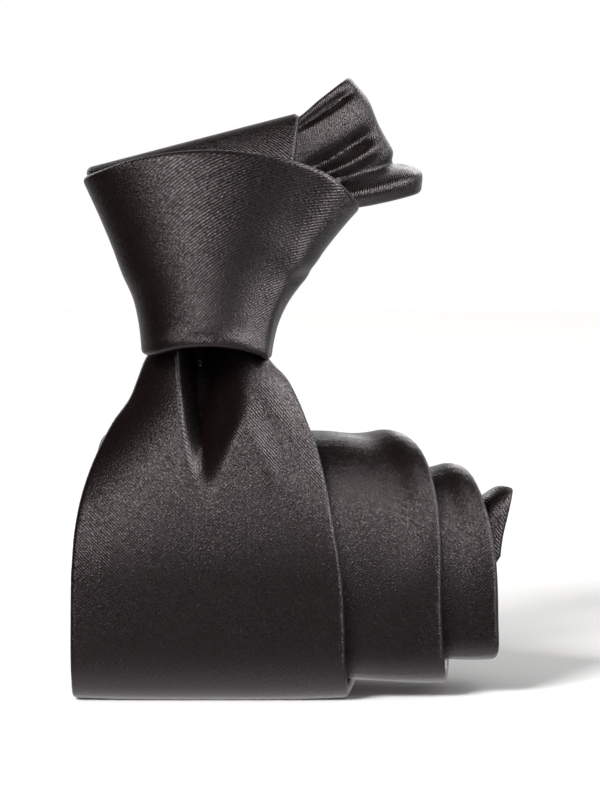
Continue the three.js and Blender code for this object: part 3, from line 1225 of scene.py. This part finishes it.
back_wrap = Band(back_face, level(25.0), BLADE_THICK, -BACK_REACH, BACK_REACH)
back_rows = rows(-BACK_REACH, BACK_REACH, 2.0)
envelope("knot_back_wrap", "knot_back_wrap_shell", back_wrap, "knot", back_rows, 16)


# ---- The neck loop ----

# The loop's lower and upper edges, from the knot out to the right, round the back and in again.
LOOP_LOWER = [
    (8, 1.5, 95),
    (19, 8.5, 97.5),
    (32, 13.5, 99.0),
    (41.6, 22, 100.6),
    (38, 34, 100),
    (16, 43, 91),
    (-8, 41, 84),
    (-19, 28, 83),
    (-17, 14, 85),
    (-9, 4, 90),
]
LOOP_UPPER = [
    (8, 1.5, 112),
    (16.5, 10.5, 117.4),
    (21.5, 15, 121.4),
    (27.2, 22, 125.2),
    (25, 31, 122),
    (12, 38, 112),
    (-6, 36, 104),
    (-16, 26, 101),
    (-14, 13, 101),
    (-8, 3.5, 101),
]
loop_ruled, loop_width = ruled(LOOP_LOWER, LOOP_UPPER)


def loop_face(across, along):
    """The neck band, with the folds that gather it where it leaves the knot, a rolled lower edge
    and soft waves round the back."""
    point = loop_ruled(across, along)
    ahead = loop_ruled(across, along + 0.4)
    up = loop_ruled(across + 0.05, along) - point
    normal = np.cross(ahead - point, up)
    normal /= np.linalg.norm(normal, axis=-1, keepdims=True) + TINY
    share = (across + 1) / 2

    crease = eased((5, 0.44), (14, 0.47), (33, 0.58), (45, 0.62))(along)
    above = share - crease
    folds = (
        -2.8 * hump(above, 0.06)
        + 0.6 * hump(above + 0.11, 0.05)
        - 1.0 * hump(above + 0.19, 0.04)
        - 1.8 * hump(share - 0.9, 0.03)
    )
    edge = 2.6 * hump(share - 0.12, 0.10) - 1.6 * hump(share - 0.29, 0.05)
    swell = 1.0 * hump(above - 0.2, 0.16)
    waves = 0.6 * np.sin(share * 9 + along * 0.16)

    leaving = rise(along, 6, 18)
    folded = leaving * (1 - rise(along, 25, 33))
    rolled = leaving * (1 - rise(along, 38, 50))
    behind = rise(along, 45, 60) * (1 - rise(along, 88, 98))
    out = folds * folded + (edge + swell) * rolled + waves * behind
    return point + normal * out[..., None]


neck = Band(loop_face, loop_width, TAIL_THICK, 0.0, 100.0)
# The neck band bends from the knot to the loop just behind the knot, between these depths in
# metres.
at_loop = ("knot", "neck_loop", (0, 0.004, 0), (0, 0.016, 0))
envelope("neck_loop", "neck_shell", neck, at_loop, rows(0.0, 100.0, 0.5), 60, held="gathered")


# ---- What is inside, and the sewing ----

SLIP_STITCH = 7  # from one slip stitch to the next
SEAM_SHORT = 0.62  # the seam stops short of a point by this share of the band's width


def interlining(name, stands_for, band, body, half, thick, start=None):
    """The wool inside a band's envelope, ending short of the band's end."""
    short = 6 if band.point else 1
    start = band.start + 1 if start is None else start
    depth = PLY + 0.1 + thick / 2
    slab(
        name, stands_for, "interlining", band, body, start, band.end - short, half, depth, thick
    )


def seam(name, stands_for, band, body):
    """The slip stitch that joins a band's two flaps along the back: a thread that swells at each
    stitch and thins between."""
    short = band.width(band.end) * SEAM_SHORT if band.point else 0
    slab(
        name,
        stands_for,
        "stitching",
        band,
        body,
        band.start + 2,
        band.end - short - 2,
        lambda along: 0.12 + 0.55 * np.abs(np.sin(along * np.pi / SLIP_STITCH)),
        band.thick + 0.02,
        0.25,
        step=0.7,
        columns=3,
    )


def inside_point(band, margin, tip):
    """Half the width of what lies inside a pointed band, margin in from its edges."""

    def half(along):
        to_tip = band.point - along - tip
        return np.maximum(np.minimum(band.width(along) / 2 - margin, to_tip), 0.6)

    return half


def inside(width, margin):
    """Half the width of what lies inside a band, margin in from its edges."""
    return lambda along: width(along) / 2 - margin


BLADE_WOOL_TOP = 26  # the blade's wool starts below its pinched top
interlining(
    "blade_wool",
    "blade_interlining",
    blade,
    at_mouth,
    inside_point(blade, 1.6, 4),
    0.6,
    start=BLADE_WOOL_TOP,
)
seam("blade_seam", "blade_slip_stitch", blade, at_mouth)
interlining("tail_wool", "tail_interlining", tail, at_mouth, inside_point(tail, 1.3, 3), 0.4)
seam("tail_seam", "tail_slip_stitch", tail, at_mouth)
interlining("neck_loop_wool", "neck_interlining", neck, at_loop, inside(loop_width, 1.5), 0.4)
seam("neck_loop_seam", "neck_slip_stitch", neck, at_loop)
for name, band, half in (
    ("knot_front_wrap", front_wrap, level(17.5)),
    ("knot_over_wrap", over_wrap, inside(over_width, 1.5)),
    ("knot_back_wrap", back_wrap, level(11.0)),
):
    interlining(name + "_wool", name + "_interlining", band, "knot", half, 0.5)


def point_lining(name, band, body, reach):
    """The tipping: thin cloth sewn over the interlining behind a band's point."""
    end = band.point
    slab(
        name + "_point_lining",
        name + "_tipping",
        "tipping",
        band,
        body,
        end - reach,
        end - 3,
        lambda along: np.maximum(np.minimum(band.width(along) / 2 - 2.4, end - along - 1.5), 0.5),
        band.thick - 0.42,
        0.15,
        step=1.5,
        columns=25,
    )


def bar_tack(name, band, body, length):
    """Close stitches side by side, across the seam's end at the top of the point."""
    at = band.point - band.width(band.point) * SEAM_SHORT
    slab(
        name + "_tack",
        name + "_bar_tack",
        "stitching",
        band,
        body,
        at - 0.8,
        at + 0.8,
        level(length / 2),
        lambda across, along: band.thick + 0.1 - 0.12 * np.abs(np.sin(across * 14)),
        0.3,
        step=0.2,
        columns=49,
    )


for name, band, reach, tack in (("blade", blade, 84, 7.0), ("tail", tail, 48, 5.0)):
    point_lining(name, band, at_mouth, reach)
    bar_tack(name, band, at_mouth, tack)


# ---- The keeper ----

KEEPER_HALF = 23.5
KEEPER_WIDE = 10
keeper_at = float(length_at(0.75))  # on top of the first turn


def keeper_depth(across, along):
    """Over the tail, and down to the blade's back at both ends."""
    over_tail = TAIL_THICK + 0.5
    return BLADE_THICK + 0.3 + over_tail * (1 - rise(np.abs(across), 0.86, 0.93))


slab(
    "keeper",
    "keeper_loop",
    "satin",
    blade,
    "roll",
    keeper_at - KEEPER_WIDE / 2,
    keeper_at + KEEPER_WIDE / 2,
    level(KEEPER_HALF),
    keeper_depth,
    0.5,
    step=1.0,
    columns=49,
)


# ---- The cloth inside the knot ----

CORE_LENGTH = 34
CORE_THICK = 2.6  # both bands' cloth, pressed together


def core_face(across, along):
    """Both bands, gathered together, run up through the knot and back at its top."""
    up = along / CORE_LENGTH
    x = -2.0 + 2.5 * up + across * (7.5 + 6.0 * up)
    z = 74 + 30 * up
    gathers = 1.2 * np.sin(across * 9 + up * 2) * (0.5 + 0.8 * up)
    y = KNOT_Y - 0.5 + gathers + 2.0 * up * up
    return leaned(x, y, z)


def core_width(along):
    return 15 + 12 * along / CORE_LENGTH


core = Band(core_face, core_width, CORE_THICK, 0.0, float(CORE_LENGTH))
core_rows = rows(0.0, CORE_LENGTH, 1.0)
envelope("knot_core", "knot_core_shell", core, "knot", core_rows, 40, held="gathered")
slab(
    "knot_core_wool",
    "knot_core_interlining",
    "interlining",
    core,
    "knot",
    1.0,
    CORE_LENGTH - 1.0,
    lambda along: 6.0 + 5 * along / CORE_LENGTH,
    CORE_THICK / 2,
    0.5,
    columns=30,
)

BOXES = {"cad": CAD_BOX, "visual": [list(corner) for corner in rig.bounds()]}
with open("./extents.json", "w") as file:
    json.dump(BOXES, file)
